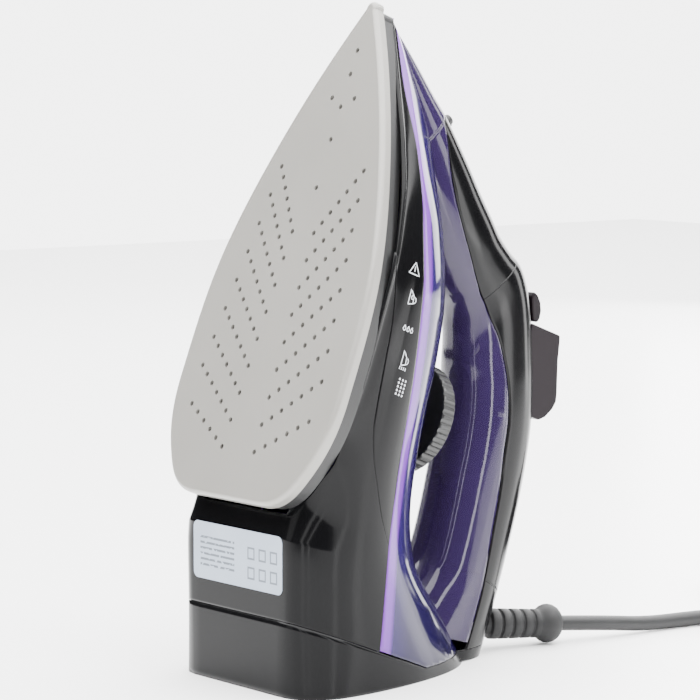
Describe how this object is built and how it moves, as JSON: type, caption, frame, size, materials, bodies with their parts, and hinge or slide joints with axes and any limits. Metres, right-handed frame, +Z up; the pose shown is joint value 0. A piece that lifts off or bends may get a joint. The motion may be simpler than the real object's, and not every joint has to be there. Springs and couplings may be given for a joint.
{
  "type": "steam iron",
  "caption": "Corded steam clothes iron standing on its heel, with sole plate, tinted water tank, hollow handle, controls, filler door, dial and mains lead.",
  "frame": {"origin": "middle of the base box on the surface the iron stands on, without its lead", "axes": "+Z up as the iron stands on its heel, -X is the side of the sole face, +X the side of the handle, Y across"},
  "size_m": [0.4854, 0.115, 0.2924],
  "materials": {
    "sole_ceramic": "satin ceramic coat",
    "casting": "as cast",
    "element_steel": "sheath",
    "seal_rubber": "silicone",
    "thermostat": "plated",
    "black_matte": "fine texture",
    "black_gloss": "high gloss",
    "tank_purple": "tinted clear",
    "grip_purple": "tinted clear",
    "dark_purple": "gloss",
    "plum": "gloss",
    "white_plastic": "moulded",
    "spring_steel": "drawn wire",
    "dial_black": "moulded",
    "nozzle": "moulded",
    "clear_tube": "silicone",
    "lamp": "clear red",
    "label_foil": "foil",
    "cord_rubber": "matte",
    "plug_brass": "nickel plated"
  },
  "bodies": {
    "casing": {"chamber_cover": "element_steel", "chamber_gasket": "seal_rubber", "cord_socket": "black_matte", "element_terminals": "element_steel", "front_cover": "black_gloss", "handle_core": "dark_purple", "handle_cover": "black_gloss", "handle_shell": "grip_purple", "heat_shield": "black_matte", "heater_casting": "casting", "heating_element": "element_steel", "heel_cap": "black_gloss", "pilot_lamp": "lamp", "rating_label": "label_foil", "rear_housing": "black_gloss", "shaft_tube": "white_plastic", "skirt": "black_gloss", "soleplate": "sole_ceramic", "spray_nozzle": "nozzle", "spray_pump_barrel": "white_plastic", "spray_pump_spring": "spring_steel", "spray_tube": "clear_tube", "steam_pump_barrel": "white_plastic", "steam_pump_spring": "spring_steel", "tank_floor": "dark_purple", "thermal_fuse": "element_steel", "thermostat_body": "thermostat", "valve_seat": "seal_rubber", "water_tank": "tank_purple"},
    "dial": {"temperature_dial": "dial_black", "thermostat_shaft": "thermostat"},
    "spray_control": {"spray_button": "plum", "spray_pump_piston": "white_plastic"},
    "steam_control": {"steam_button": "plum", "steam_pump_piston": "white_plastic"},
    "selector": {"steam_selector": "plum"},
    "drip_needle": {"needle_rod": "white_plastic"},
    "door": {"filler_door": "plum"},
    "mains_lead": {"cord_boot": "cord_rubber", "cord_lead": "cord_rubber", "cord_tail": "cord_rubber", "cord_coil": "cord_rubber", "coil_tie": "cord_rubber", "plug_body": "cord_rubber", "plug_pins": "plug_brass"}
  },
  "joints": [
    {"name": "temperature_turn", "type": "hinge", "parent": "casing", "child": "dial", "pos_m": [0.00837, 0, 0.11007], "axis": [0.9336, 0, -0.3584], "range_deg": [0, 270]},
    {"name": "spray_press", "type": "slide", "parent": "casing", "child": "spray_control", "axis": [-0.9336, 0, 0.3584], "range_m": [0, 0.004], "stiffness_N_per_m": 600, "springref_m": -0.003, "deforming": ["spray_pump_spring"]},
    {"name": "steam_press", "type": "slide", "parent": "casing", "child": "steam_control", "axis": [-0.9336, 0, 0.3584], "range_m": [0, 0.004], "stiffness_N_per_m": 600, "springref_m": -0.003, "deforming": ["steam_pump_spring"]},
    {"name": "selector_slide", "type": "slide", "parent": "casing", "child": "selector", "axis": [0, 1, 0], "range_m": [-0.005, 0.005]},
    {"name": "needle_lift", "type": "slide", "parent": "casing", "child": "drip_needle", "axis": [0.9336, 0, -0.3584], "range_m": [-0.0015, 0.0015]},
    {"name": "door_open", "type": "hinge", "parent": "casing", "child": "door", "pos_m": [0.04632, 0, 0.20737], "axis": [0, -1, 0], "range_deg": [0, 75]},
    {"name": "cord_swivel", "type": "hinge", "parent": "casing", "child": "mains_lead", "pos_m": [0.04147, 0, 0.0125], "axis": [0, 0, 1], "range_deg": [-7, 33]}
  ],
  "couplings": [
    {"joint": "needle_lift", "follows": "selector_slide", "ratio": 0.3}
  ]
}
